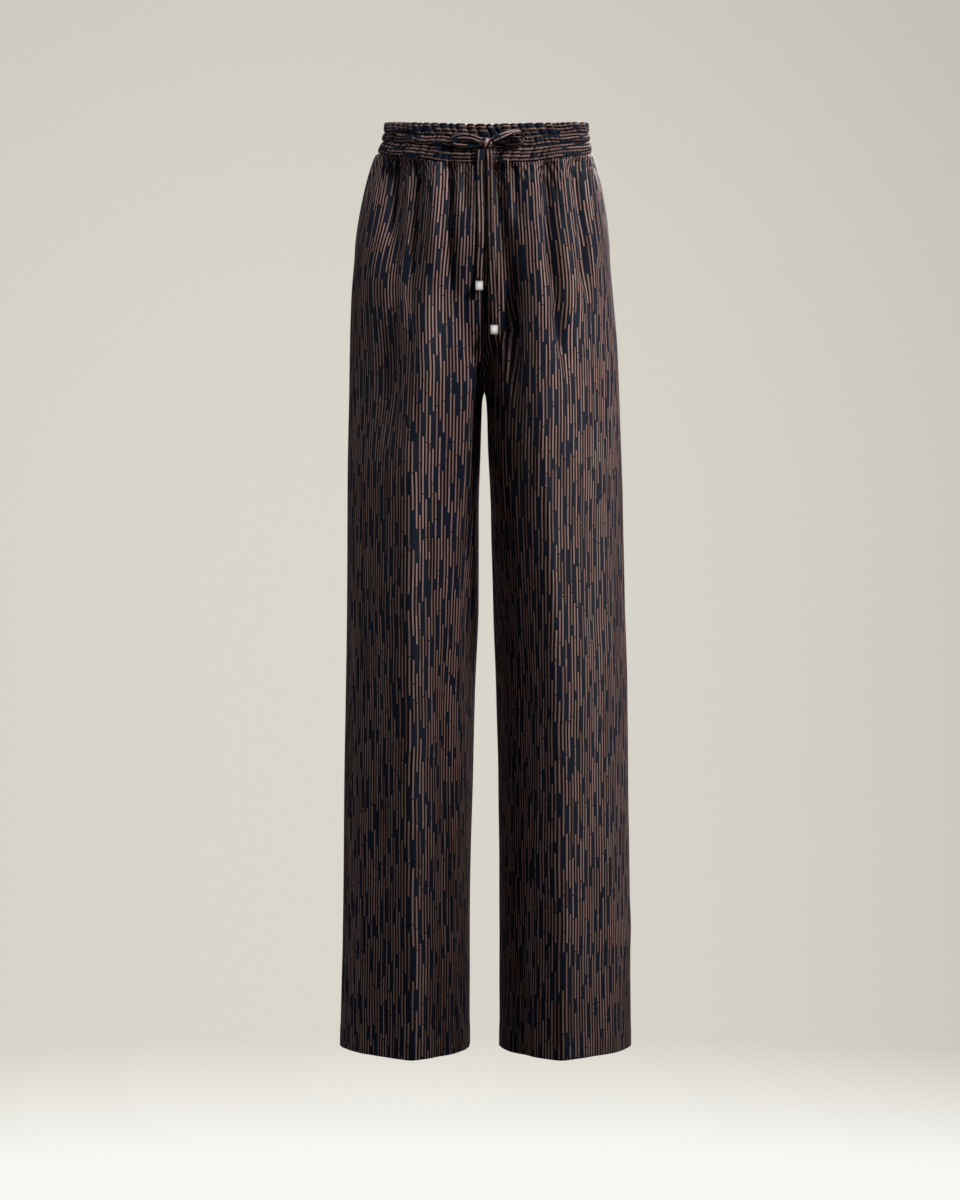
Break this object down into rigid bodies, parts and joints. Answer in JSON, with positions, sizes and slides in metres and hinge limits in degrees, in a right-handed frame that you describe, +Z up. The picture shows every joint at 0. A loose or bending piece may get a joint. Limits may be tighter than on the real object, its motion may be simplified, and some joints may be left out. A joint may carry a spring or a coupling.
{
  "type": "palazzo pants",
  "caption": "High-waisted wide-leg trousers with a shirred drawstring waistband, slash pockets and straight open hems, filled out as worn.",
  "frame": {"origin": "centre of the waist ring at half the waistband's height at its sides, where the wearer holds the garment up", "axes": "+Z up along the body, front faces -Y, +X is the wearer's left"},
  "size_m": [0.3495, 0.2472, 1.1138],
  "materials": {
    "printed_cloth": "satin weave, navy ground with broken vertical stripes in rose brown",
    "waistband_cloth": "the same cloth turned a quarter, shirred",
    "string_cloth": "the same cloth, sewn into a flat tube",
    "tip_metal": "polished"
  },
  "bodies": {
    "root": {"front_right": "printed_cloth", "front_left": "printed_cloth", "back_right": "printed_cloth", "back_left": "printed_cloth", "pocket_facing_right": "printed_cloth", "pocket_facing_left": "printed_cloth", "waistband_front": "waistband_cloth", "waistband_back": "waistband_cloth", "drawstring_knot": "string_cloth", "drawstring_loop_right": "string_cloth", "drawstring_loop_left": "string_cloth", "drawstring_tail_right": "string_cloth", "drawstring_tail_left": "string_cloth", "tip_right": "tip_metal", "tip_left": "tip_metal"}
  },
  "joints": []
}
